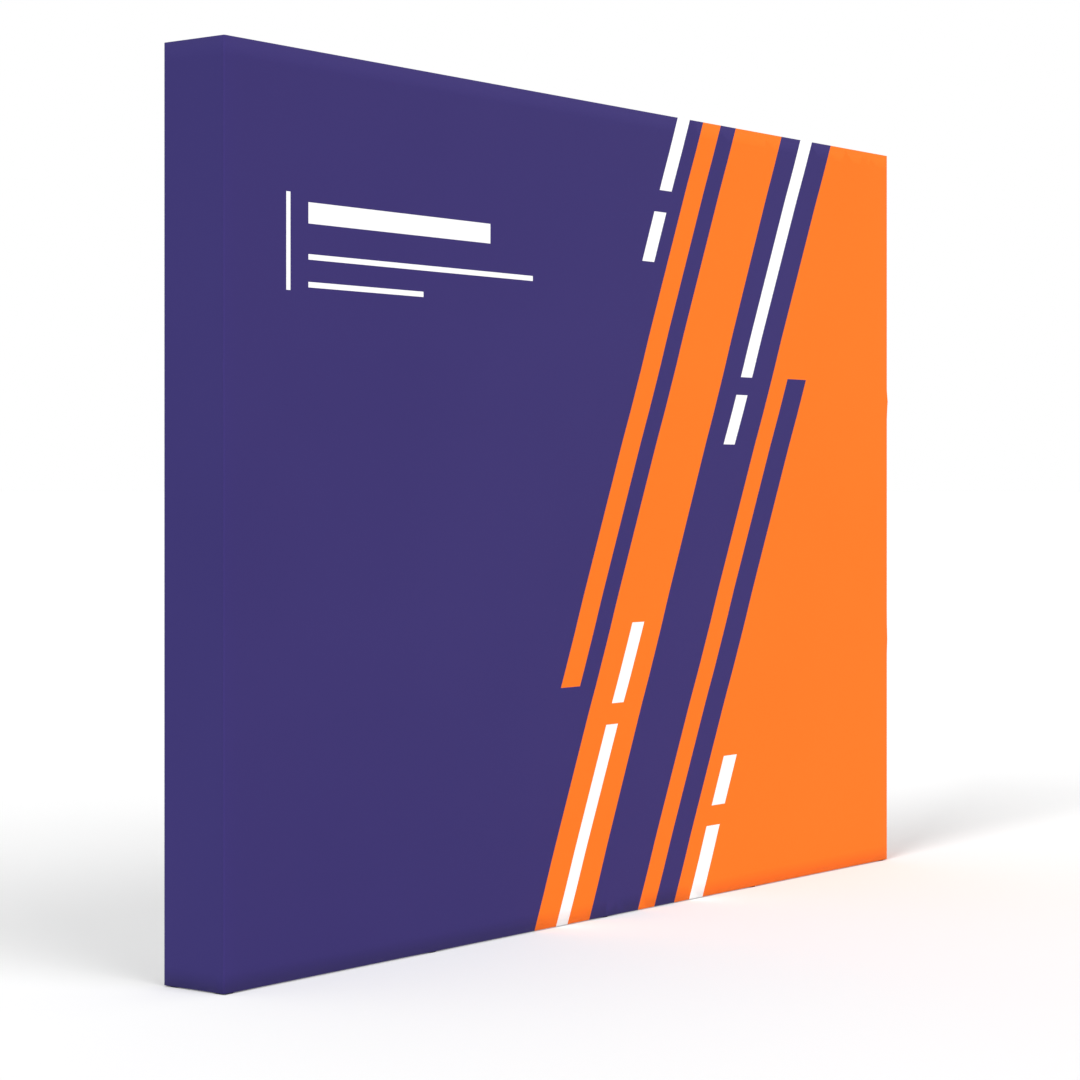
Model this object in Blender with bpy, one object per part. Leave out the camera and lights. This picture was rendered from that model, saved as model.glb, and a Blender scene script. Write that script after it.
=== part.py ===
"""A straight fabric pop-up display wall: folding scissor frame, feet, locking arms and printed cloth."""
import math

import bmesh
import bpy
from mathutils import Matrix, Vector

# Layout of the frame
COLUMNS = 5
COLUMN_PITCH = 0.750
POST_TOP_Z = 2.268
TOP_HUB_DROP = 0.036
ROW_PITCH = 0.751
LOWEST_ROW_Z = 0.040
TOP_ROW_Z = POST_TOP_Z - TOP_HUB_DROP
THIRD_ROW_Z = TOP_ROW_Z - ROW_PITCH
SECOND_ROW_Z = THIRD_ROW_Z - ROW_PITCH
ROW_HEIGHTS = (LOWEST_ROW_Z, SECOND_ROW_Z, THIRD_ROW_Z, TOP_ROW_Z)
HALF_DEPTH = 0.100
PIVOT_PLANE = 0.075
PIVOT_OFFSET = 0.025
CLEARANCE = 0.0003

# Uprights
POST_RADIUS = 0.008
POST_FOOT_Z = 0.0063
TOP_CAP_RADIUS = 0.011
TOP_CAP_THICKNESS = 0.004
HUB_HALF_WIDTH = 0.0155
HUB_HALF_HEIGHT = 0.0185
HUB_INNER_FACE = 0.057
EAR_ROOT = 0.010
EAR_RADIUS = 0.008
EAR_THICKNESS = 0.003
PIN_RADIUS = 0.003
PIN_SEAT = 0.0015
END_PAD_ROOT = 0.012
END_PAD_REACH = 0.025
END_PAD_HALF = 0.012

# Scissor bars
BAR_LEVEL = 0.0095
BAR_HALF_HEIGHT = 0.006
BAR_HALF_WIDTH = 0.006
BAR_START = 0.0105
TONGUE_HALF_THICKNESS = 0.004
TONGUE_END = 0.006
HOLE_RADIUS = 0.0038
RIVET_HEAD_RADIUS = 0.006
RIVET_HEAD_THICKNESS = 0.003

# Where along its length each bar of the lowest row has its hinge, as a share
HINGE_SHARES_A = (1, 0.5, 0, 0)
HINGE_SHARES_B = (1, 1, 0.5, 0)
MIDDLE_COLUMN = COLUMNS // 2

# Locking arms
ARM_PIVOT_Y = 0.050
ARM_HALF_WIDTH = 0.006
ARM_HALF_HEIGHT = 0.0045
ARM_END_RADIUS = 0.0055
ARM_HEAD_HALF_HEIGHT = 0.0085
ARM_HEAD_LENGTH = 0.007
ARM_HOLE_RADIUS = 0.0033
ARM_PIN_RADIUS = 0.0025
LUG_THICKNESS = 0.003
LUG_RADIUS = 0.006
LUG_ROOT_Y = 0.061

# Feet
FOOT_RADIUS = 0.022
FOOT_FLANGE = 0.005
FOOT_COLLAR_RADIUS = 0.0125
FOOT_COLLAR_TOP = 0.020
FOOT_SOCKET_FLOOR = 0.006

# Cloth
CLOTH_THICKNESS = 0.0015
GRAPHIC_BOTTOM_Z = 0.003
CLOTH_TOP_GAP = 0.003
GRAPHIC_TOP_Z = POST_TOP_Z - CLOTH_TOP_GAP

POST_SIDES = 8
PIN_SIDES = 6
HEAD_SIDES = 8
PAD_SIDES = 8
ROUND_STEPS = 2
FOOT_SIDES = 12
CAP_SIDES = 8
SMOOTH_ANGLE = 50.0


def clear_scene():
    for item in list(bpy.data.objects):
        bpy.data.objects.remove(item, do_unlink=True)
    for mesh in list(bpy.data.meshes):
        bpy.data.meshes.remove(mesh)


def make_material(name, color, roughness, metallic):
    material = bpy.data.materials.new(name)
    material.use_nodes = True
    shader = material.node_tree.nodes["Principled BSDF"]
    shader.inputs["Base Color"].default_value = (color[0], color[1], color[2], 1.0)
    shader.inputs["Roughness"].default_value = roughness
    shader.inputs["Metallic"].default_value = metallic
    return material


def show_object(name, mesh):
    item = bpy.data.objects.new(name, mesh)
    bpy.context.scene.collection.objects.link(item)
    return item


def prism(outline, low, high, axis):
    """Closes a flat outline into a block between two heights along X, Y or Z."""
    shape = bmesh.new()
    rings = []
    for height in (low, high):
        ring = []
        for first, second in outline:
            if axis == "Z":
                spot = Vector((first, second, height))
            elif axis == "X":
                spot = Vector((height, first, second))
            else:
                spot = Vector((first, height, second))
            ring.append(shape.verts.new(spot))
        rings.append(ring)
    count = len(outline)
    for index in range(count):
        after = (index + 1) % count
        shape.faces.new((rings[0][index], rings[0][after], rings[1][after], rings[1][index]))
    shape.faces.new(list(reversed(rings[0])))
    shape.faces.new(rings[1])
    bmesh.ops.recalc_face_normals(shape, faces=shape.faces)
    mesh = bpy.data.meshes.new("block")
    shape.to_mesh(mesh)
    shape.free()
    return show_object("block", mesh)


def circle_outline(radius, sides, first_centre, second_centre):
    points = []
    for index in range(sides):
        angle = math.tau * (index + 0.5) / sides
        first = first_centre + radius * math.cos(angle)
        second = second_centre + radius * math.sin(angle)
        points.append((first, second))
    return points


def rod(radius, sides, centre, low, high, axis):
    return prism(circle_outline(radius, sides, centre[0], centre[1]), low, high, axis)


def rounded_tab(root, pivot, radius, centre, side):
    """A straight tab with a half-round end about its pivot, pointing along the first axis."""
    points = [(side * root, centre - radius)]
    for step in range(ROUND_STEPS + 1):
        angle = -math.pi / 2 + math.pi * step / ROUND_STEPS
        first = side * (pivot + radius * math.cos(angle))
        second = centre + radius * math.sin(angle)
        points.append((first, second))
    points.append((side * root, centre + radius))
    return points


def combine(base, others, operation):
    """Runs exact Booleans on the base and leaves one plain mesh."""
    for other in others:
        modifier = base.modifiers.new("join", "BOOLEAN")
        modifier.operation = operation
        modifier.solver = "EXACT"
        modifier.object = other
    bpy.context.view_layer.update()
    graph = bpy.context.evaluated_depsgraph_get()
    result = bpy.data.meshes.new_from_object(base.evaluated_get(graph), depsgraph=graph)
    base.modifiers.clear()
    base.data = result
    for other in others:
        bpy.data.objects.remove(other, do_unlink=True)
    return base


def finish(item, name, material, smooth):
    item.name = name
    item.data.name = name
    item.data.materials.clear()
    item.data.materials.append(material)
    for face in item.data.polygons:
        face.use_smooth = smooth
    if smooth:
        item.data.set_sharp_from_angle(angle=math.radians(SMOOTH_ANGLE))
    return item


def set_origin(item, place):
    """Moves the object's origin to its joint without moving the shape."""
    spot = Vector(place)
    item.data.transform(item.matrix_world)
    item.data.transform(Matrix.Translation(-spot))
    item.matrix_world = Matrix.Translation(spot)


def arm_places():
    """Locking arms sit on every second column between the ends, in the inner rows."""
    places = []
    for column in range(1, COLUMNS - 1, 2):
        for row in range(1, len(ROW_HEIGHTS) - 1):
            places.append((column, row))
    return places


def column_x(column):
    return (column - (COLUMNS - 1) / 2) * COLUMN_PITCH


def hub_block(outer_face, side, x, z):
    half_width = HUB_HALF_WIDTH
    half_height = HUB_HALF_HEIGHT
    outline = [
        (x - half_width, z - half_height),
        (x + half_width, z - half_height),
        (x + half_width, z + half_height),
        (x - half_width, z + half_height),
    ]
    low = min(side * HUB_INNER_FACE, side * outer_face)
    high = max(side * HUB_INNER_FACE, side * outer_face)
    return prism(outline, low, high, "Y")


def fork(x, y, z, direction):
    """Two ears and the pin that carry one bar end."""
    pieces = []
    outline = []
    for first, second in rounded_tab(EAR_ROOT, PIVOT_OFFSET, EAR_RADIUS, 0, direction):
        outline.append((x + first, y + second))
    ear_inner = TONGUE_HALF_THICKNESS + CLEARANCE
    ear_outer = ear_inner + EAR_THICKNESS
    pieces.append(prism(outline, z + ear_inner, z + ear_outer, "Z"))
    pieces.append(prism(outline, z - ear_outer, z - ear_inner, "Z"))
    reach = ear_inner + PIN_SEAT
    centre = (x + direction * PIVOT_OFFSET, y)
    pieces.append(rod(PIN_RADIUS, PIN_SIDES, centre, z - reach, z + reach, "Z"))
    return pieces


def end_pad(x, y, z, direction):
    low = min(x + direction * END_PAD_ROOT, x + direction * END_PAD_REACH)
    high = max(x + direction * END_PAD_ROOT, x + direction * END_PAD_REACH)
    outline = circle_outline(END_PAD_HALF, PAD_SIDES, y, z)
    return prism(outline, low, high, "X")


def arm_lugs(x, z):
    pieces = []
    outline = [(LUG_ROOT_Y, z - LUG_RADIUS), (LUG_ROOT_Y, z + LUG_RADIUS)]
    for step in range(ROUND_STEPS + 1):
        angle = math.pi / 2 + math.pi * step / ROUND_STEPS
        outline.append((ARM_PIVOT_Y + LUG_RADIUS * math.cos(angle), z + LUG_RADIUS * math.sin(angle)))
    lug_inner = ARM_HALF_WIDTH + CLEARANCE
    lug_outer = lug_inner + LUG_THICKNESS
    pieces.append(prism(outline, x + lug_inner, x + lug_outer, "X"))
    pieces.append(prism(outline, x - lug_outer, x - lug_inner, "X"))
    reach = lug_inner + PIN_SEAT
    pieces.append(rod(ARM_PIN_RADIUS, PIN_SIDES, (ARM_PIVOT_Y, z), x - reach, x + reach, "X"))
    return pieces


def make_upright(column, side, material):
    """One post with its four moulded hubs; side is -1 at the front and +1 at the rear."""
    x = column_x(column)
    y = side * PIVOT_PLANE
    if side < 0:
        outer_face = HALF_DEPTH - CLOTH_THICKNESS - CLEARANCE
        name = "front_upright_%d" % (column + 1)
    else:
        outer_face = HALF_DEPTH
        name = "rear_upright_%d" % (column + 1)
    cap_low = POST_TOP_Z - TOP_CAP_THICKNESS
    post_high = POST_TOP_Z - TOP_CAP_THICKNESS / 2
    post = rod(POST_RADIUS, POST_SIDES, (x, y), POST_FOOT_Z, post_high, "Z")
    cap = rod(TOP_CAP_RADIUS, CAP_SIDES, (x, y), cap_low, POST_TOP_Z, "Z")
    post = combine(post, [cap], "UNION")
    for row, z in enumerate(ROW_HEIGHTS):
        pieces = [hub_block(outer_face, side, x, z)]
        if column < COLUMNS - 1:
            pieces += fork(x, y, z - side * BAR_LEVEL, 1)
        else:
            pieces.append(end_pad(x, y, z, 1))
        if column > 0:
            pieces += fork(x, y, z + side * BAR_LEVEL, -1)
        else:
            pieces.append(end_pad(x, y, z, -1))
        if side > 0 and (column, row) in arm_places():
            pieces += arm_lugs(x, z)
        post = combine(post, pieces, "UNION")
    if column <= MIDDLE_COLUMN:
        pivot_x = x + PIVOT_OFFSET
    else:
        pivot_x = x - PIVOT_OFFSET
    set_origin(post, (pivot_x, y, 0))
    return finish(post, name, material, True)


def make_bar(with_rivet):
    """One straight bar along X from its first pivot at the origin, with flat drilled ends."""
    span = COLUMN_PITCH - 2 * PIVOT_OFFSET
    depth = 2 * PIVOT_PLANE
    length = math.hypot(span, depth)
    high = BAR_HALF_HEIGHT
    thin = TONGUE_HALF_THICKNESS
    near = BAR_START
    far = length - BAR_START
    tip = length + TONGUE_END
    outline = [
        (-TONGUE_END, -thin),
        (near, -thin),
        (near, -high),
        (far, -high),
        (far, -thin),
        (tip, -thin),
        (tip, thin),
        (far, thin),
        (far, high),
        (near, high),
        (near, thin),
        (-TONGUE_END, thin),
    ]
    bar = prism(outline, -BAR_HALF_WIDTH, BAR_HALF_WIDTH, "Y")
    pieces = []
    middle = length / 2
    low = -2 * BAR_LEVEL - BAR_HALF_HEIGHT - CLEARANCE
    if with_rivet:
        pieces.append(rod(PIN_RADIUS, PIN_SIDES, (middle, 0), low - RIVET_HEAD_THICKNESS / 2, 0, "Z"))
        pieces.append(rod(RIVET_HEAD_RADIUS, HEAD_SIDES, (middle, 0), low - RIVET_HEAD_THICKNESS, low, "Z"))
        bar = combine(bar, pieces, "UNION")
    drilled = [0, length]
    if not with_rivet:
        drilled.append(middle)
    cutters = []
    for place in drilled:
        cutters.append(rod(HOLE_RADIUS, PIN_SIDES, (place, 0), -2 * BAR_HALF_HEIGHT, 2 * BAR_HALF_HEIGHT, "Z"))
    return combine(bar, cutters, "DIFFERENCE")


def place_bars(material):
    span = COLUMN_PITCH - 2 * PIVOT_OFFSET
    depth = 2 * PIVOT_PLANE
    lean = math.atan2(depth, span)
    length = math.hypot(span, depth)
    for letter, with_rivet, turn, first_side, level, hinge_shares in (
        ("a", True, lean, -1, BAR_LEVEL, HINGE_SHARES_A),
        ("b", False, -lean, 1, -BAR_LEVEL, HINGE_SHARES_B),
    ):
        pattern = make_bar(with_rivet)
        for row, z in enumerate(ROW_HEIGHTS):
            for bay in range(COLUMNS - 1):
                start = Vector((column_x(bay) + PIVOT_OFFSET, first_side * PIVOT_PLANE, z + level))
                along = Vector((span, -2 * first_side * PIVOT_PLANE, 0))
                if row == 0:
                    share = hinge_shares[bay]
                else:
                    share = 0
                mesh = pattern.data.copy()
                mesh.transform(Matrix.Translation((-share * length, 0, 0)))
                name = "scissor_bar_%s_row%d_bay%d" % (letter, row + 1, bay + 1)
                bar = finish(show_object(name, mesh), name, material, True)
                place = Matrix.Translation(start + along * share)
                bar.matrix_world = place @ Matrix.Rotation(turn, 4, "Z")
        bpy.data.objects.remove(pattern, do_unlink=True)


def make_locking_arm(number, column, row, material):
    """A short arm on the rear hub whose head meets the front hub."""
    x = column_x(column)
    z = ROW_HEIGHTS[row]
    front = -HUB_INNER_FACE + CLEARANCE
    neck = front + ARM_HEAD_LENGTH
    outline = [
        (neck, z - ARM_HALF_HEIGHT),
        (neck, z - ARM_HEAD_HALF_HEIGHT),
        (front, z - ARM_HEAD_HALF_HEIGHT),
        (front, z + ARM_HEAD_HALF_HEIGHT),
        (neck, z + ARM_HEAD_HALF_HEIGHT),
        (neck, z + ARM_HALF_HEIGHT),
    ]
    spread = math.asin(ARM_HALF_HEIGHT / ARM_END_RADIUS)
    turns = 2 * ROUND_STEPS
    for step in range(turns + 1):
        angle = math.pi - spread - (2 * math.pi - 2 * spread) * step / turns
        across = ARM_PIVOT_Y + ARM_END_RADIUS * math.cos(angle)
        outline.append((across, z + ARM_END_RADIUS * math.sin(angle)))
    arm = prism(outline, x - ARM_HALF_WIDTH, x + ARM_HALF_WIDTH, "X")
    wide = 2 * ARM_HALF_WIDTH
    cutter = rod(ARM_HOLE_RADIUS, PIN_SIDES, (ARM_PIVOT_Y, z), x - wide, x + wide, "X")
    arm = combine(arm, [cutter], "DIFFERENCE")
    set_origin(arm, (x, ARM_PIVOT_Y, z))
    return finish(arm, "locking_arm_%d" % number, material, True)


def make_foot(column, side, material):
    """A turned rubber foot with a socket for the post."""
    socket_radius = (POST_RADIUS + CLEARANCE) / math.cos(math.pi / FOOT_SIDES)
    profile = [
        (0, 0),
        (FOOT_RADIUS, 0),
        (FOOT_RADIUS, FOOT_FLANGE),
        (FOOT_COLLAR_RADIUS, FOOT_COLLAR_TOP),
        (socket_radius, FOOT_COLLAR_TOP),
        (socket_radius, FOOT_SOCKET_FLOOR),
        (0, FOOT_SOCKET_FLOOR),
    ]
    shape = bmesh.new()
    rings = []
    for radius, height in profile:
        if radius == 0:
            rings.append([shape.verts.new((0, 0, height))])
            continue
        ring = []
        for index in range(FOOT_SIDES):
            angle = math.tau * (index + 0.5) / FOOT_SIDES
            ring.append(shape.verts.new((radius * math.cos(angle), radius * math.sin(angle), height)))
        rings.append(ring)
    for lower, upper in zip(rings[:-1], rings[1:]):
        for index in range(FOOT_SIDES):
            after = (index + 1) % FOOT_SIDES
            if len(lower) == 1:
                shape.faces.new((lower[0], upper[after], upper[index]))
            elif len(upper) == 1:
                shape.faces.new((lower[index], lower[after], upper[0]))
            else:
                shape.faces.new((lower[index], lower[after], upper[after], upper[index]))
    bmesh.ops.recalc_face_normals(shape, faces=shape.faces)
    mesh = bpy.data.meshes.new("foot")
    shape.to_mesh(mesh)
    shape.free()
    if side < 0:
        name = "front_foot_%d" % (column + 1)
    else:
        name = "rear_foot_%d" % (column + 1)
    foot = finish(show_object(name, mesh), name, material, True)
    foot.location = (column_x(column), side * PIVOT_PLANE, 0)
    return foot


def make_cloth(material):
    half_width = END_PAD_REACH + column_x(COLUMNS - 1) + CLEARANCE + CLOTH_THICKNESS
    inner = half_width - CLOTH_THICKNESS
    front = -HALF_DEPTH
    back = front + CLOTH_THICKNESS
    outline = [(-half_width, front), (half_width, front), (half_width, back), (-half_width, back)]
    sheet = prism(outline, GRAPHIC_BOTTOM_Z, GRAPHIC_TOP_Z, "Z")
    finish(sheet, "graphic_front", material, False)
    start = back + CLEARANCE
    for name, side in (("end_cap_left", -1), ("end_cap_right", 1)):
        low = min(side * inner, side * half_width)
        high = max(side * inner, side * half_width)
        outline = [(low, start), (high, start), (high, HALF_DEPTH), (low, HALF_DEPTH)]
        panel = prism(outline, GRAPHIC_BOTTOM_Z, GRAPHIC_TOP_Z, "Z")
        finish(panel, name, material, False)


def build():
    clear_scene()
    black_plastic = make_material("black_plastic", (0.03, 0.03, 0.035), 0.45, 0.0)
    aluminium = make_material("aluminium", (0.75, 0.76, 0.78), 0.3, 1.0)
    rubber = make_material("rubber", (0.02, 0.02, 0.02), 0.8, 0.0)
    grey_plastic = make_material("grey_plastic", (0.25, 0.26, 0.28), 0.4, 0.0)
    cloth = make_material("printed_cloth", (0.06, 0.04, 0.17), 0.85, 0.0)
    for column in range(COLUMNS):
        for side in (-1, 1):
            make_upright(column, side, black_plastic)
            make_foot(column, side, rubber)
    place_bars(aluminium)
    for index, (column, row) in enumerate(arm_places()):
        make_locking_arm(index + 1, column, row, grey_plastic)
    make_cloth(cloth)


build()
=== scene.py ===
"""Looks of the straight fabric display wall: printed cloth, scissor frame, studio floor and light."""
import math

import bmesh
import bpy
from mathutils import Matrix, Vector


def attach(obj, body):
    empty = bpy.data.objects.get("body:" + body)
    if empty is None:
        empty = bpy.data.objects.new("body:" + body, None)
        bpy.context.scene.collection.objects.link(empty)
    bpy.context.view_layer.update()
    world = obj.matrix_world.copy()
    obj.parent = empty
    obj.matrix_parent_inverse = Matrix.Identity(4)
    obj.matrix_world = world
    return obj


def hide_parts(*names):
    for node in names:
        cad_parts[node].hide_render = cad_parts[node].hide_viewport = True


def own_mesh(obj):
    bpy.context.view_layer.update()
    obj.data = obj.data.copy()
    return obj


# Sizes shared with the CAD frame
COLUMNS = 5
COLUMN_PITCH = 0.750
ROW_HEIGHTS = (0.040, 0.730, 1.481, 2.232)
PIVOT_PLANE = 0.075
PIVOT_OFFSET = 0.025
BAR_LEVEL = 0.0095
ARM_COLUMNS = (1, 3)
ARM_ROWS = (1, 2)
HUB_INNER_FACE = 0.057
HALF_WIDTH = 1.5268
HALF_DEPTH = 0.100
CLOTH_BOTTOM = 0.003
CLOTH_TOP = 2.265
CLOTH_HEIGHT = CLOTH_TOP - CLOTH_BOTTOM

# Cloth
CLOTH_THICKNESS = 0.0011
CORNER_RADIUS = 0.0045
CORNER_STEPS = 3
GRID_COLUMNS = 60
GRID_ROWS = 48
TENSION_DIP = 0.0016
HELD_FLAT_REACH = 0.12
EDGE_FLAT_WIDTH = 0.10
EDGE_FADE_WIDTH = 0.15
HUB_BUMP = 0.0065
HUB_BUMP_LEFT_SHARE = 0.25
HUB_BUMP_HEIGHT = 0.022
HUB_BUMP_REACH = 0.020
REAR_TURN = 0.016
FRONT_TUCK = 0.006
END_SEAM_GAP = 0.0003
END_GRID = 8
CUT_TOLERANCE = 0.00001

# Scissor bars: round tube, plugs with flat eyes, rivet and spacer at the crossing
TUBE_RADIUS = 0.0062
TUBE_SIDES = 18
PLUG_START = 0.0105
PLUG_LENGTH = 0.030
PLUG_OVERLAP = 0.004
PLUG_RADIUS = 0.0068
TONGUE_HALF = 0.0039
TONGUE_RADIUS = 0.0065
TONGUE_LENGTH = 0.014
RIVET_RADIUS = 0.003
RIVET_SIDES = 12
RIVET_END = 0.003
RIVET_HEAD_RADIUS = 0.006
RIVET_HEAD_THICKNESS = 0.0026
RIVET_CAP_RADIUS = 0.0055
RIVET_CAP_SINK = 0.0015
RIVET_CAP_RISE = 0.0008
SPACER_RADIUS = 0.0085
SPACER_TOP = 0.0065
SPACER_BOTTOM = 0.011
HEAD_SIDES = 16

# Fittings on the uprights and the locking arms
SLEEVE_RADIUS = 0.0084
SLEEVE_SIDES = 24
SLEEVE_STOP = 0.0188
PAD_RADIUS = 0.0125
PAD_THICKNESS = 0.0012
PAD_SIDES = 20
FRONT_PAD_FACE = 0.0979
REAR_PAD_RISE = 0.0006
BOLT_RADIUS = 0.0042
BOLT_HEIGHT = 0.0022
BOLT_SIDES = 12
BOLT_START = 0.0070
BOLT_SEAT = 0.0073
MAGNET_RADIUS = 0.0045
MAGNET_SIDES = 16
MAGNET_GAP = 0.0002
MAGNET_DEPTH = 0.0021
EDGE_SOFTENING = 0.0009
SOFT_EDGE_ANGLE = 50.0
SMOOTH_ANGLE = 35.0

# Print: each slanted edge is a pair, its place along the top edge and how far it drifts to the left
# on the way down, both as shares of the width
EDGE_BAND_1_LEFT = (0.6559, 0.3159)
EDGE_BAND_1_RIGHT = (0.6859, 0.3181)
EDGE_BAND_2_LEFT = (0.7121, 0.3204)
EDGE_BAND_2_RIGHT = (0.7942, 0.3214)
EDGE_FIELD_LEFT = (0.8870, 0.3386)
EDGE_BAR_LEFT = (0.9165, 0.3418)
EDGE_BAR_RIGHT = (0.9519, 0.3450)
EDGE_DASH_1_LEFT = (0.6133, 0.3045)
EDGE_DASH_1_RIGHT = (0.6333, 0.3099)
EDGE_DASH_2_LEFT = (0.8294, 0.3322)
EDGE_DASH_2_RIGHT = (0.8508, 0.3375)
EDGE_DASH_3_LEFT = (0.7478, 0.3246)
EDGE_DASH_3_RIGHT = (0.7700, 0.3300)
EDGE_DASH_4_LEFT = (0.9694, 0.3374)
EDGE_DASH_4_RIGHT = (0.9919, 0.3374)
PRINT_EDGES = (
    EDGE_BAND_1_LEFT,
    EDGE_BAND_1_RIGHT,
    EDGE_BAND_2_LEFT,
    EDGE_BAND_2_RIGHT,
    EDGE_FIELD_LEFT,
    EDGE_BAR_LEFT,
    EDGE_BAR_RIGHT,
    EDGE_DASH_1_LEFT,
    EDGE_DASH_1_RIGHT,
    EDGE_DASH_2_LEFT,
    EDGE_DASH_2_RIGHT,
    EDGE_DASH_3_LEFT,
    EDGE_DASH_3_RIGHT,
    EDGE_DASH_4_LEFT,
    EDGE_DASH_4_RIGHT,
)
BAND_1_END = 0.2864
BAR_TOP = 0.6747
# White dashes: left edge, right edge, low and high shares of the height
DASHES = (
    (EDGE_DASH_1_LEFT, EDGE_DASH_1_RIGHT, 0.9046, 1.0),
    (EDGE_DASH_1_LEFT, EDGE_DASH_1_RIGHT, 0.8126, 0.8768),
    (EDGE_DASH_2_LEFT, EDGE_DASH_2_RIGHT, 0.6737, 1.0),
    (EDGE_DASH_2_LEFT, EDGE_DASH_2_RIGHT, 0.5847, 0.6501),
    (EDGE_DASH_3_LEFT, EDGE_DASH_3_RIGHT, 0.2616, 0.3599),
    (EDGE_DASH_3_LEFT, EDGE_DASH_3_RIGHT, 0.0, 0.2357),
    (EDGE_DASH_4_LEFT, EDGE_DASH_4_RIGHT, 0.1157, 0.1778),
    (EDGE_DASH_4_LEFT, EDGE_DASH_4_RIGHT, 0.0, 0.0899),
)
# Plain white bars where a heading would be: left, right, low and high shares
PLAIN_BARS = (
    (0.0708, 0.0757, 0.7395, 0.8450),
    (0.0969, 0.3300, 0.8130, 0.8360),
    (0.0969, 0.3900, 0.7740, 0.7800),
    (0.0969, 0.2400, 0.7440, 0.7500),
)
# Slots of the cloth's materials
PURPLE = 0
ORANGE = 1
WHITE = 2
BACKING = 3

# Studio and camera
FLOOR_RADIUS = 900.0
FLOOR_SIDES = 64
WORLD_LIGHT = 0.54
CAMERA_PLACE = (-6.3187, -4.7269, 1.1945)
CAMERA_TURN = 0.9149
CAMERA_LENS = 93.62
CAMERA_SENSOR = 36.0
CAMERA_SHIFT_Y = -0.0475

# Finishes
TONE_STEPS = (0.3, 0.7)
GRAIN_RATIO = 8.0
CLOTH_TONE_SCALE = 1.4
CLOTH_ROUGHNESS = 0.85
CLOTH_SPECULAR = 0.2
STITCH_SCALE = 160.0
STITCH_DISTORTION = 1.5
STITCH_STRENGTH = 0.12
STITCH_HEIGHT = 0.0004
FLOOR_TONE_SCALE = 0.4
FLOOR_ROUGHNESS = 0.9
FLOOR_DARK = (0.90, 0.90, 0.90)
FLOOR_LIGHT = (0.92, 0.92, 0.92)


def column_x(column):
    return (column - (COLUMNS - 1) / 2) * COLUMN_PITCH


def new_material(name):
    material = bpy.data.materials.new(name)
    material.use_nodes = True
    return material, material.node_tree.nodes, material.node_tree.links


def noise_source(nodes, links, scale, detail, stretch=(1.0, 1.0, 1.0)):
    place = nodes.new("ShaderNodeTexCoord")
    mapping = nodes.new("ShaderNodeMapping")
    mapping.inputs["Scale"].default_value = stretch
    noise = nodes.new("ShaderNodeTexNoise")
    noise.inputs["Scale"].default_value = scale
    noise.inputs["Detail"].default_value = detail
    links.new(place.outputs["Object"], mapping.inputs["Vector"])
    links.new(mapping.outputs["Vector"], noise.inputs["Vector"])
    return noise


def vary_colour(nodes, links, noise, shader, dark, light):
    ramp = nodes.new("ShaderNodeValToRGB")
    for step, place, colour in zip(ramp.color_ramp.elements, TONE_STEPS, (dark, light)):
        step.position = place
        step.color = (colour[0], colour[1], colour[2], 1.0)
    links.new(noise.outputs["Fac"], ramp.inputs["Fac"])
    links.new(ramp.outputs["Color"], shader.inputs["Base Color"])


def add_bump(nodes, links, source, shader, strength, distance):
    bump = nodes.new("ShaderNodeBump")
    bump.inputs["Strength"].default_value = strength
    bump.inputs["Distance"].default_value = distance
    links.new(source, bump.inputs["Height"])
    links.new(bump.outputs["Normal"], shader.inputs["Normal"])


def surface(name, dark, light, roughness, metallic, scale, strength, distance, stretch=(1.0, 1.0, 1.0)):
    """A finish whose colour and relief vary a little over the surface."""
    material, nodes, links = new_material(name)
    shader = nodes["Principled BSDF"]
    shader.inputs["Roughness"].default_value = roughness
    shader.inputs["Metallic"].default_value = metallic
    broad = noise_source(nodes, links, scale, 3.0, stretch)
    vary_colour(nodes, links, broad, shader, dark, light)
    fine = noise_source(nodes, links, scale * GRAIN_RATIO, 2.0, stretch)
    add_bump(nodes, links, fine.outputs["Fac"], shader, strength, distance)
    return material


def cloth_finish(name, dark, light, sheen):
    """Printed stretch knit: broad soft tone, fine rows of stitches."""
    material, nodes, links = new_material(name)
    shader = nodes["Principled BSDF"]
    shader.inputs["Roughness"].default_value = CLOTH_ROUGHNESS
    shader.inputs["Specular IOR Level"].default_value = CLOTH_SPECULAR
    shader.inputs["Sheen Weight"].default_value = sheen
    broad = noise_source(nodes, links, CLOTH_TONE_SCALE, 2.0)
    vary_colour(nodes, links, broad, shader, dark, light)
    place = nodes.new("ShaderNodeTexCoord")
    rows = nodes.new("ShaderNodeTexWave")
    rows.bands_direction = "Z"
    rows.inputs["Scale"].default_value = STITCH_SCALE
    rows.inputs["Distortion"].default_value = STITCH_DISTORTION
    rows.inputs["Detail"].default_value = 1.0
    links.new(place.outputs["Object"], rows.inputs["Vector"])
    add_bump(nodes, links, rows.outputs["Fac"], shader, STITCH_STRENGTH, STITCH_HEIGHT)
    return material


def make_object(name, mesh, materials, smooth=True):
    item = bpy.data.objects.new(name, mesh)
    bpy.context.scene.collection.objects.link(item)
    for material in materials:
        item.data.materials.append(material)
    if smooth:
        for face in item.data.polygons:
            face.use_smooth = True
        item.data.set_sharp_from_angle(angle=math.radians(SMOOTH_ANGLE))
    return item


def object_from(shape, name, materials, smooth=True):
    """Turns a mesh being built into an object and frees it."""
    mesh = bpy.data.meshes.new(name)
    shape.to_mesh(mesh)
    shape.free()
    return make_object(name, mesh, materials, smooth)


def bake(item):
    """Turns an object's modifiers into plain mesh."""
    bpy.context.view_layer.update()
    graph = bpy.context.evaluated_depsgraph_get()
    mesh = bpy.data.meshes.new_from_object(item.evaluated_get(graph), depsgraph=graph)
    item.modifiers.clear()
    item.data = mesh
    return item


def edge_place(edge, height_share):
    """Where a slanted edge of the print lies at a height, as a share of the width."""
    return edge[0] - edge[1] * (1.0 - height_share)


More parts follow.
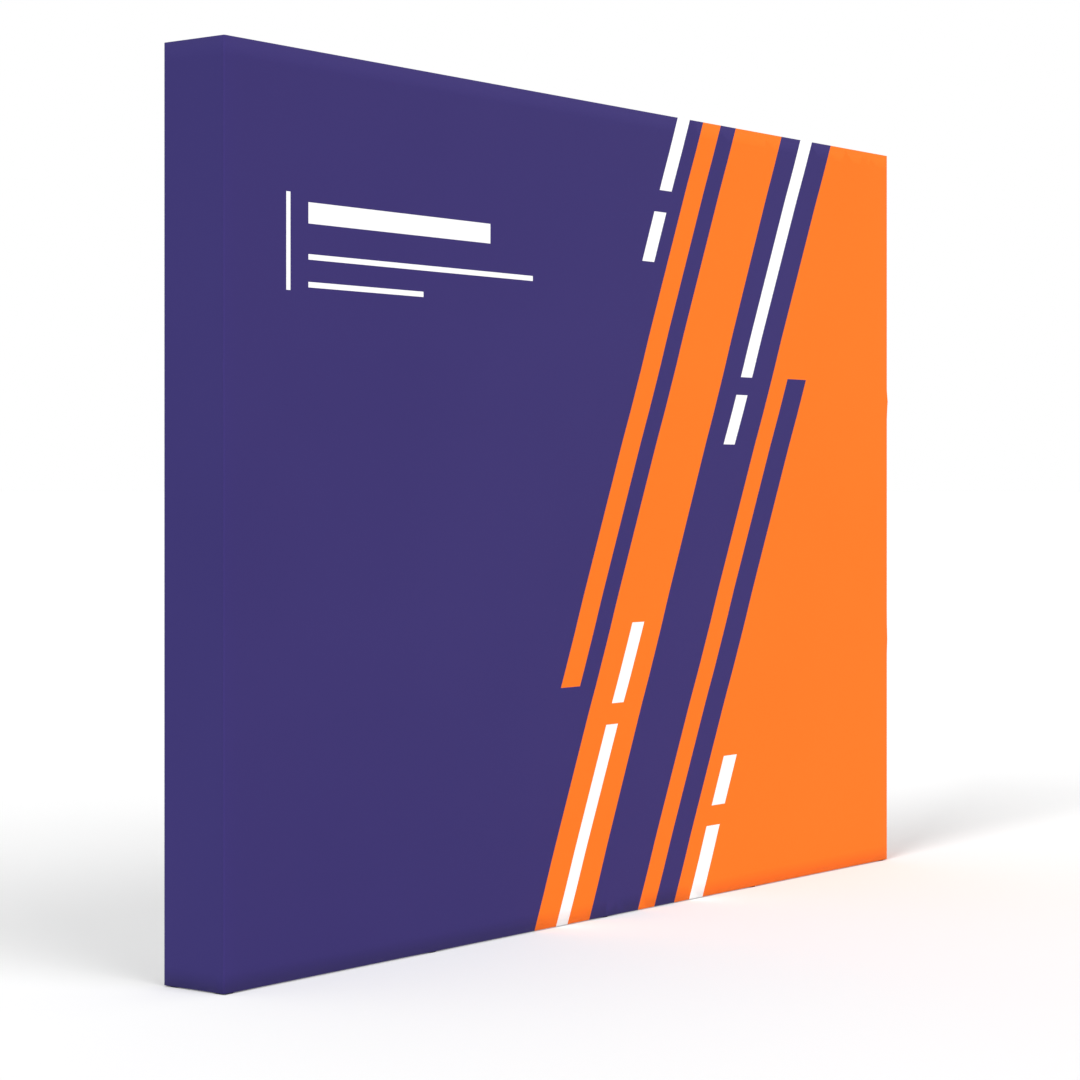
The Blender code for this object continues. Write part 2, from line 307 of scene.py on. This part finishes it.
def between(edges, share, height_share):
    left = edge_place(edges[0], height_share)
    right = edge_place(edges[1], height_share)
    return left < share < right


def print_colour(share, height_share):
    """Which ink lies at a place on the front, both as shares of the sheet."""
    for left, right, low, high in DASHES:
        if low < height_share < high and between((left, right), share, height_share):
            return WHITE
    for left, right, low, high in PLAIN_BARS:
        if left < share < right and low < height_share < high:
            return WHITE
    if between((EDGE_BAND_1_LEFT, EDGE_BAND_1_RIGHT), share, height_share):
        if height_share > BAND_1_END:
            return ORANGE
        return PURPLE
    if between((EDGE_BAND_2_LEFT, EDGE_BAND_2_RIGHT), share, height_share):
        return ORANGE
    if between((EDGE_BAR_LEFT, EDGE_BAR_RIGHT), share, height_share):
        if height_share < BAR_TOP:
            return PURPLE
        return ORANGE
    if share > edge_place(EDGE_FIELD_LEFT, height_share):
        return ORANGE
    return PURPLE


def cut_straight(shape, place, direction):
    """Cuts the sheet's mesh along a plane and keeps both sides."""
    geometry = list(shape.verts) + list(shape.edges) + list(shape.faces)
    bmesh.ops.bisect_plane(shape, geom=geometry, dist=CUT_TOLERANCE, plane_co=place, plane_no=direction)


def cut_slanted(shape, edge):
    top = Vector((-HALF_WIDTH + 2 * HALF_WIDTH * edge[0], 0, CLOTH_TOP))
    low = Vector((-HALF_WIDTH + 2 * HALF_WIDTH * (edge[0] - edge[1]), 0, CLOTH_BOTTOM))
    along = top - low
    cut_straight(shape, low, Vector((along.z, 0, -along.x)).normalized())


def near_row(z):
    """How close a height is to a row of hubs, from 1 at the row to 0 far away."""
    best = 0.0
    for row_z in ROW_HEIGHTS:
        best = max(best, math.exp(-(((z - row_z) / HELD_FLAT_REACH) ** 4)))
    return best


def bulge(z):
    """How far the inner hub rows push the cloth out at a height, from 0 to 1."""
    total = 0.0
    for row_z in ROW_HEIGHTS[1:3]:
        total += math.exp(-(((z - row_z) / HUB_BUMP_HEIGHT) ** 4))
    return total


def front_profile():
    """The sheet's outline seen from above, from the left corner to the right one."""
    points = []
    for step in range(CORNER_STEPS + 1):
        angle = math.pi / 2 * step / CORNER_STEPS
        x = -HALF_WIDTH + CORNER_RADIUS * (1 - math.cos(angle))
        y = -HALF_DEPTH + CORNER_RADIUS * (1 - math.sin(angle))
        points.append((x, y))
    span = 2 * (HALF_WIDTH - CORNER_RADIUS)
    for index in range(1, GRID_COLUMNS):
        points.append((-HALF_WIDTH + CORNER_RADIUS + span * index / GRID_COLUMNS, -HALF_DEPTH))
    for x, y in list(reversed(points[: CORNER_STEPS + 1])):
        points.append((-x, y))
    return points


def sheet_from_profile(points, rows):
    shape = bmesh.new()
    previous = None
    for row in range(rows + 1):
        z = CLOTH_BOTTOM + CLOTH_HEIGHT * row / rows
        ring = [shape.verts.new((x, y, z)) for x, y in points]
        if previous:
            for index in range(len(points) - 1):
                shape.faces.new((previous[index], previous[index + 1], ring[index + 1], ring[index]))
        previous = ring
    return shape


def thicken(item):
    """Gives the sheet its thickness, with the unprinted backing inside."""
    modifier = item.modifiers.new("thickness", "SOLIDIFY")
    modifier.thickness = CLOTH_THICKNESS
    modifier.offset = -1.0
    modifier.material_offset = BACKING
    bake(item)
    return item


def make_front(inks):
    """The printed sheet: cut along every edge of the print, so each colour ends on a clean line."""
    shape = sheet_from_profile(front_profile(), GRID_ROWS)
    for edge in PRINT_EDGES:
        cut_slanted(shape, edge)
    levels = {BAND_1_END, BAR_TOP}
    for left, right, low, high in DASHES:
        levels.update((low, high))
    for left, right, low, high in PLAIN_BARS:
        levels.update((low, high))
        for side in (left, right):
            cut_straight(shape, Vector((-HALF_WIDTH + 2 * HALF_WIDTH * side, 0, 0)), Vector((1, 0, 0)))
    for level in sorted(levels):
        if 0.0 < level < 1.0:
            cut_straight(shape, Vector((0, 0, CLOTH_BOTTOM + CLOTH_HEIGHT * level)), Vector((0, 0, 1)))
    for face in shape.faces:
        centre = face.calc_center_median()
        share = (centre.x + HALF_WIDTH) / (2 * HALF_WIDTH)
        face.material_index = print_colour(share, (centre.z - CLOTH_BOTTOM) / CLOTH_HEIGHT)
    for vertex in shape.verts:
        x, y, z = vertex.co
        inside = max(0.0, min(1.0, (HALF_WIDTH - abs(x) - EDGE_FLAT_WIDTH) / EDGE_FADE_WIDTH))
        vertex.co.y += TENSION_DIP * inside * (1.0 - near_row(z))
        reach = max(0.0, 1.0 - (HALF_WIDTH - abs(x)) / HUB_BUMP_REACH)
        amount = HUB_BUMP * bulge(z) * reach
        if x < 0:
            vertex.co.x -= amount * HUB_BUMP_LEFT_SHARE
        else:
            vertex.co.x += amount
    bmesh.ops.recalc_face_normals(shape, faces=shape.faces)
    if sum(face.normal.y * face.calc_area() for face in shape.faces) > 0:
        bmesh.ops.reverse_faces(shape, faces=shape.faces)
    return thicken(object_from(shape, "graphic_front_cloth", inks))


def make_end(name, side, inks, ink):
    """An end return: a tuck behind the front sheet, flat side, rear corner and a turn round the rear hubs."""
    start = -HALF_DEPTH + CORNER_RADIUS + END_SEAM_GAP
    stop = HALF_DEPTH - CORNER_RADIUS
    inner_radius = CORNER_RADIUS - CLOTH_THICKNESS - END_SEAM_GAP
    corner_x = HALF_WIDTH - CORNER_RADIUS
    points = [(corner_x - FRONT_TUCK, start - END_SEAM_GAP - inner_radius)]
    for step in range(CORNER_STEPS + 1):
        angle = math.pi / 2 * step / CORNER_STEPS
        x = corner_x + inner_radius * math.sin(angle)
        points.append((x, start - END_SEAM_GAP - inner_radius * math.cos(angle)))
    for index in range(END_GRID + 1):
        points.append((HALF_WIDTH, start + (stop - start) * index / END_GRID))
    for step in range(1, CORNER_STEPS + 1):
        angle = math.pi / 2 * step / CORNER_STEPS
        x = HALF_WIDTH - CORNER_RADIUS * (1 - math.cos(angle))
        points.append((x, HALF_DEPTH - CORNER_RADIUS * (1 - math.sin(angle)) + CLOTH_THICKNESS))
    points.append((HALF_WIDTH - CORNER_RADIUS - REAR_TURN, HALF_DEPTH + CLOTH_THICKNESS))
    points = [(side * x, y) for x, y in points]
    shape = sheet_from_profile(points, GRID_ROWS)
    for vertex in shape.verts:
        x, y, z = vertex.co
        if y < start:
            front = 1.0 - (HALF_WIDTH - abs(x)) / HUB_BUMP_REACH
        else:
            front = max(0.0, 1.0 - (y - start) / HUB_BUMP_REACH)
        amount = HUB_BUMP * bulge(z) * front
        if side < 0:
            amount *= HUB_BUMP_LEFT_SHARE
        vertex.co.x += side * amount
    for face in shape.faces:
        face.material_index = ink
    bmesh.ops.recalc_face_normals(shape, faces=shape.faces)
    if side * sum(face.normal.x * face.calc_area() for face in shape.faces) < 0:
        bmesh.ops.reverse_faces(shape, faces=shape.faces)
    return thicken(object_from(shape, name, inks))


def add_rod(shape, radius, low, high, axis, centre, sides, index):
    """Adds a closed rod to a mesh being built, along X, Y or Z."""
    length = high - low
    if axis == "X":
        turn = Matrix.Rotation(math.pi / 2, 4, "Y")
        middle = Vector(((low + high) / 2, centre[0], centre[1]))
    elif axis == "Y":
        turn = Matrix.Rotation(math.pi / 2, 4, "X")
        middle = Vector((centre[0], (low + high) / 2, centre[1]))
    else:
        turn = Matrix.Identity(4)
        middle = Vector((centre[0], centre[1], (low + high) / 2))
    made = bmesh.ops.create_cone(
        shape,
        cap_ends=True,
        cap_tris=False,
        segments=sides,
        radius1=radius,
        radius2=radius,
        depth=length,
        matrix=Matrix.Translation(middle) @ turn,
    )
    faces = {face for vertex in made["verts"] for face in vertex.link_faces}
    for face in faces:
        face.material_index = index


def add_box(shape, low, high, index):
    size = Vector(high) - Vector(low)
    middle = (Vector(high) + Vector(low)) / 2
    place = Matrix.Translation(middle) @ Matrix.Diagonal((size.x, size.y, size.z, 1.0))
    made = bmesh.ops.create_cube(shape, size=1.0, matrix=place)
    faces = {face for vertex in made["verts"] for face in vertex.link_faces}
    for face in faces:
        face.material_index = index


def bar_mesh(with_rivet):
    """A round tube with moulded plugs and flat eyes; slot 0 is metal, 1 plastic, 2 steel."""
    span = COLUMN_PITCH - 2 * PIVOT_OFFSET
    length = math.hypot(span, 2 * PIVOT_PLANE)
    shape = bmesh.new()
    add_rod(shape, TUBE_RADIUS, PLUG_LENGTH, length - PLUG_LENGTH, "X", (0, 0), TUBE_SIDES, 0)
    plug_end = PLUG_LENGTH + PLUG_OVERLAP
    for near, far in ((PLUG_START, plug_end), (length - plug_end, length - PLUG_START)):
        add_rod(shape, PLUG_RADIUS, near, far, "X", (0, 0), TUBE_SIDES, 1)
    for place, direction in ((0.0, 1.0), (length, -1.0)):
        add_rod(shape, TONGUE_RADIUS, -TONGUE_HALF, TONGUE_HALF, "Z", (place, 0), TUBE_SIDES, 1)
        ends = sorted((place, place + direction * TONGUE_LENGTH))
        low = (ends[0], -TONGUE_RADIUS, -TONGUE_HALF)
        high = (ends[1], TONGUE_RADIUS, TONGUE_HALF)
        add_box(shape, low, high, 1)
    middle = length / 2
    if with_rivet:
        low = -2 * BAR_LEVEL - TUBE_RADIUS - RIVET_END
        for radius, start, stop, sides, index in (
            (RIVET_RADIUS, low, 0, RIVET_SIDES, 2),
            (RIVET_HEAD_RADIUS, low, low + RIVET_HEAD_THICKNESS, HEAD_SIDES, 2),
            (RIVET_CAP_RADIUS, TUBE_RADIUS - RIVET_CAP_SINK, TUBE_RADIUS + RIVET_CAP_RISE, HEAD_SIDES, 2),
            (SPACER_RADIUS, -SPACER_BOTTOM, -SPACER_TOP, HEAD_SIDES, 1),
        ):
            add_rod(shape, radius, start, stop, "Z", (middle, 0), sides, index)
    mesh = bpy.data.meshes.new("bar")
    shape.to_mesh(mesh)
    shape.free()
    return mesh


def dress_bars(finishes):
    """Puts a round bar in place of every scissor bar of the frame."""
    span = COLUMN_PITCH - 2 * PIVOT_OFFSET
    lean = math.atan2(2 * PIVOT_PLANE, span)
    for letter, with_rivet, turn, first_side, level in (
        ("a", True, lean, -1, BAR_LEVEL),
        ("b", False, -lean, 1, -BAR_LEVEL),
    ):
        pattern = bar_mesh(with_rivet)
        for row, row_z in enumerate(ROW_HEIGHTS):
            for bay in range(COLUMNS - 1):
                node = "scissor_bar_%s_row%d_bay%d" % (letter, row + 1, bay + 1)
                mesh = pattern.copy()
                start = Vector((column_x(bay) + PIVOT_OFFSET, first_side * PIVOT_PLANE, row_z + level))
                mesh.transform(Matrix.Translation(start) @ Matrix.Rotation(turn, 4, "Z"))
                bar = make_object(node + "_tube", mesh, finishes)
                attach(bar, node)
                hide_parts(node)


def add_bolts(shape, column, row_z, side):
    """Bolt heads above and below each forked ear of a hub."""
    for direction in (-1, 1):
        beside = column + direction
        if beside < 0 or beside >= COLUMNS:
            continue
        level = row_z - side * direction * BAR_LEVEL
        centre = (column_x(column) + direction * PIVOT_OFFSET, side * PIVOT_PLANE)
        head_end = BOLT_SEAT + BOLT_HEIGHT
        add_rod(shape, BOLT_RADIUS, level + BOLT_START, level + head_end, "Z", centre, BOLT_SIDES, 2)
        add_rod(shape, BOLT_RADIUS, level - head_end, level - BOLT_START, "Z", centre, BOLT_SIDES, 2)


def dress_uprights(finishes, side, word):
    """Metal sleeve, pads and bolts on each upright; slot 0 is metal, 1 pad, 2 steel."""
    if side < 0:
        pad_low = -FRONT_PAD_FACE
        pad_high = -FRONT_PAD_FACE + PAD_THICKNESS
    else:
        pad_low = HALF_DEPTH - PAD_THICKNESS
        pad_high = HALF_DEPTH + REAR_PAD_RISE
    for column in range(COLUMNS):
        node = "%s_upright_%d" % (word, column + 1)
        x = column_x(column)
        shape = bmesh.new()
        for low, high in zip(ROW_HEIGHTS[:-1], ROW_HEIGHTS[1:]):
            centre = (x, side * PIVOT_PLANE)
            add_rod(shape, SLEEVE_RADIUS, low + SLEEVE_STOP, high - SLEEVE_STOP, "Z", centre, SLEEVE_SIDES, 0)
        for row_z in ROW_HEIGHTS:
            add_rod(shape, PAD_RADIUS, pad_low, pad_high, "Y", (x, row_z), PAD_SIDES, 1)
            add_bolts(shape, column, row_z, side)
        fittings = object_from(shape, node + "_fittings", finishes)
        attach(fittings, node)


def dress_arms(finishes):
    """Magnet discs on the locking arms' heads."""
    low = -HUB_INNER_FACE + MAGNET_GAP
    number = 0
    for column in ARM_COLUMNS:
        for row in ARM_ROWS:
            number += 1
            node = "locking_arm_%d" % number
            shape = bmesh.new()
            centre = (column_x(column), ROW_HEIGHTS[row])
            add_rod(shape, MAGNET_RADIUS, low, low + MAGNET_DEPTH, "Y", centre, MAGNET_SIDES, 0)
            magnet = object_from(shape, node + "_magnet", finishes)
            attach(magnet, node)


def soften(item, width):
    bevel = item.modifiers.new("edge", "BEVEL")
    bevel.width = width
    bevel.segments = 2
    bevel.limit_method = "ANGLE"
    bevel.angle_limit = math.radians(SOFT_EDGE_ANGLE)


def paint(item, material):
    item.data.materials.clear()
    item.data.materials.append(material)


def make_floor():
    """A pale floor that runs far past the view and keeps the object's shadow."""
    shape = bmesh.new()
    bmesh.ops.create_circle(shape, cap_ends=True, segments=FLOOR_SIDES, radius=FLOOR_RADIUS)
    material, nodes, links = new_material("studio_floor")
    shader = nodes["Principled BSDF"]
    shader.inputs["Roughness"].default_value = FLOOR_ROUGHNESS
    shader.inputs["Specular IOR Level"].default_value = 0.0
    broad = noise_source(nodes, links, FLOOR_TONE_SCALE, 1.0)
    vary_colour(nodes, links, broad, shader, FLOOR_DARK, FLOOR_LIGHT)
    floor = object_from(shape, "floor", [material], smooth=False)


def sun_light(name, source, power, spread):
    """An even, very soft light from one side, the same all over the floor."""
    data = bpy.data.lights.new(name, "SUN")
    data.energy = power
    data.angle = math.radians(spread)
    lamp = bpy.data.objects.new(name, data)
    bpy.context.scene.collection.objects.link(lamp)
    lamp.rotation_euler = Vector(source).to_track_quat("Z", "Y").to_euler()


def background(nodes, strength):
    node = nodes.new("ShaderNodeBackground")
    node.inputs["Color"].default_value = (1.0, 1.0, 1.0, 1.0)
    node.inputs["Strength"].default_value = strength
    return node


def greater(nodes, links, first, second):
    node = nodes.new("ShaderNodeMath")
    node.operation = "MAXIMUM"
    links.new(first, node.inputs[0])
    links.new(second, node.inputs[1])
    return node.outputs["Value"]


def make_world():
    """White to the camera, to mirrors and through glass; a softer white as light."""
    world = bpy.data.worlds.new("studio")
    world.use_nodes = True
    bpy.context.scene.world = world
    nodes = world.node_tree.nodes
    links = world.node_tree.links
    nodes.clear()
    output = nodes.new("ShaderNodeOutputWorld")
    seen = background(nodes, 1.0)
    light = background(nodes, WORLD_LIGHT)
    path = nodes.new("ShaderNodeLightPath")
    mix = nodes.new("ShaderNodeMixShader")
    ray = path.outputs
    camera_or_glass = greater(nodes, links, ray["Is Camera Ray"], ray["Is Transmission Ray"])
    any_of_three = greater(nodes, links, camera_or_glass, ray["Is Glossy Ray"])
    links.new(any_of_three, mix.inputs["Fac"])
    links.new(light.outputs["Background"], mix.inputs[1])
    links.new(seen.outputs["Background"], mix.inputs[2])
    links.new(mix.outputs["Shader"], output.inputs["Surface"])


def make_camera():
    data = bpy.data.cameras.new("camera")
    data.lens = CAMERA_LENS
    data.sensor_width = CAMERA_SENSOR
    data.shift_y = CAMERA_SHIFT_Y
    data.clip_end = 2 * FLOOR_RADIUS
    camera = bpy.data.objects.new("camera", data)
    bpy.context.scene.collection.objects.link(camera)
    camera.location = CAMERA_PLACE
    camera.rotation_euler = (math.pi / 2, 0.0, -CAMERA_TURN)
    bpy.context.scene.camera = camera


bpy.context.scene.view_settings.view_transform = "Standard"
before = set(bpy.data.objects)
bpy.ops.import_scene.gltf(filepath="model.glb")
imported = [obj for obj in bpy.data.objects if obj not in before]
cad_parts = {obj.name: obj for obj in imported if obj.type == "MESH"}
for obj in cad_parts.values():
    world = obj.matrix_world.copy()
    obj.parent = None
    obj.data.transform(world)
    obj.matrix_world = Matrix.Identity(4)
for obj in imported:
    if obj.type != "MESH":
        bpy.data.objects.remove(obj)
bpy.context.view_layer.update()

purple = cloth_finish("purple_cloth", (0.0335, 0.0227, 0.139), (0.0360, 0.0245, 0.144), 0.02)
orange = cloth_finish("orange_cloth", (0.95, 0.178, 0.008), (0.97, 0.183, 0.009), 0.02)
white = cloth_finish("white_cloth", (0.93, 0.93, 0.93), (0.95, 0.95, 0.95), 0.0)
backing = cloth_finish("cloth_backing", (0.62, 0.62, 0.64), (0.68, 0.68, 0.70), 0.1)
# The end panels carry the same purple ink as the front; this copy is made a little darker as painted shade,
# to set their brightness under the side light.
end_purple_painted_shade = cloth_finish("end_purple_cloth_painted_shade", (0.0294, 0.0212, 0.127), (0.0316, 0.0228, 0.132), 0.02)
# Each finish below: darker and lighter tone, roughness, metal, tone scale, relief strength and height
metal = surface(
    "brushed_tube", (0.60, 0.61, 0.63), (0.74, 0.75, 0.77), 0.32, 0.9, 30.0, 0.08, 0.0003, (0.2, 6.0, 6.0)
)
steel = surface("steel", (0.55, 0.55, 0.56), (0.68, 0.68, 0.69), 0.25, 0.9, 60.0, 0.05, 0.0002)
black = surface("black_nylon", (0.020, 0.020, 0.022), (0.032, 0.032, 0.035), 0.48, 0.0, 25.0, 0.10, 0.0003)
grey = surface("grey_nylon", (0.20, 0.21, 0.22), (0.26, 0.27, 0.29), 0.42, 0.0, 25.0, 0.10, 0.0003)
rubber = surface("rubber_foot", (0.015, 0.015, 0.015), (0.025, 0.025, 0.025), 0.82, 0.0, 40.0, 0.20, 0.0005)
loop_pad = surface("loop_pad", (0.70, 0.70, 0.70), (0.85, 0.85, 0.85), 0.95, 0.0, 400.0, 0.60, 0.0008)

front = make_front([purple, orange, white, backing])
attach(front, "front_upright_3")
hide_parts("graphic_front")
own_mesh(front)

# Inks of the end panels: the darker purple copy with painted shade, then the front's orange, white and
# backing.
end_inks_with_painted_shade = [end_purple_painted_shade, orange, white, backing]
for name, node, side, body, ink in (
    ("end_cap_left_cloth", "end_cap_left", -1, 1, PURPLE),
    ("end_cap_right_cloth", "end_cap_right", 1, COLUMNS, ORANGE),
):
    end = make_end(name, side, end_inks_with_painted_shade, ink)
    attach(end, "front_upright_%d" % body)
    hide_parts(node)

dress_bars([metal, black, steel])
dress_uprights([metal, loop_pad, steel], -1, "front")
dress_uprights([metal, loop_pad, steel], 1, "rear")
dress_arms([steel])

for node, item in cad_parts.items():
    if "upright" in node:
        paint(item, black)
        soften(item, EDGE_SOFTENING)
    elif "foot" in node:
        paint(item, rubber)
        soften(item, EDGE_SOFTENING)
    elif "arm" in node:
        paint(item, grey)
        soften(item, EDGE_SOFTENING / 2)

make_floor()
make_world()
sun_light("key", (-0.05, -1.00, 1.0), 1.22, 40.0)
sun_light("side", (-1.30, -0.26, 1.0), 1.66, 18.0)
make_camera()
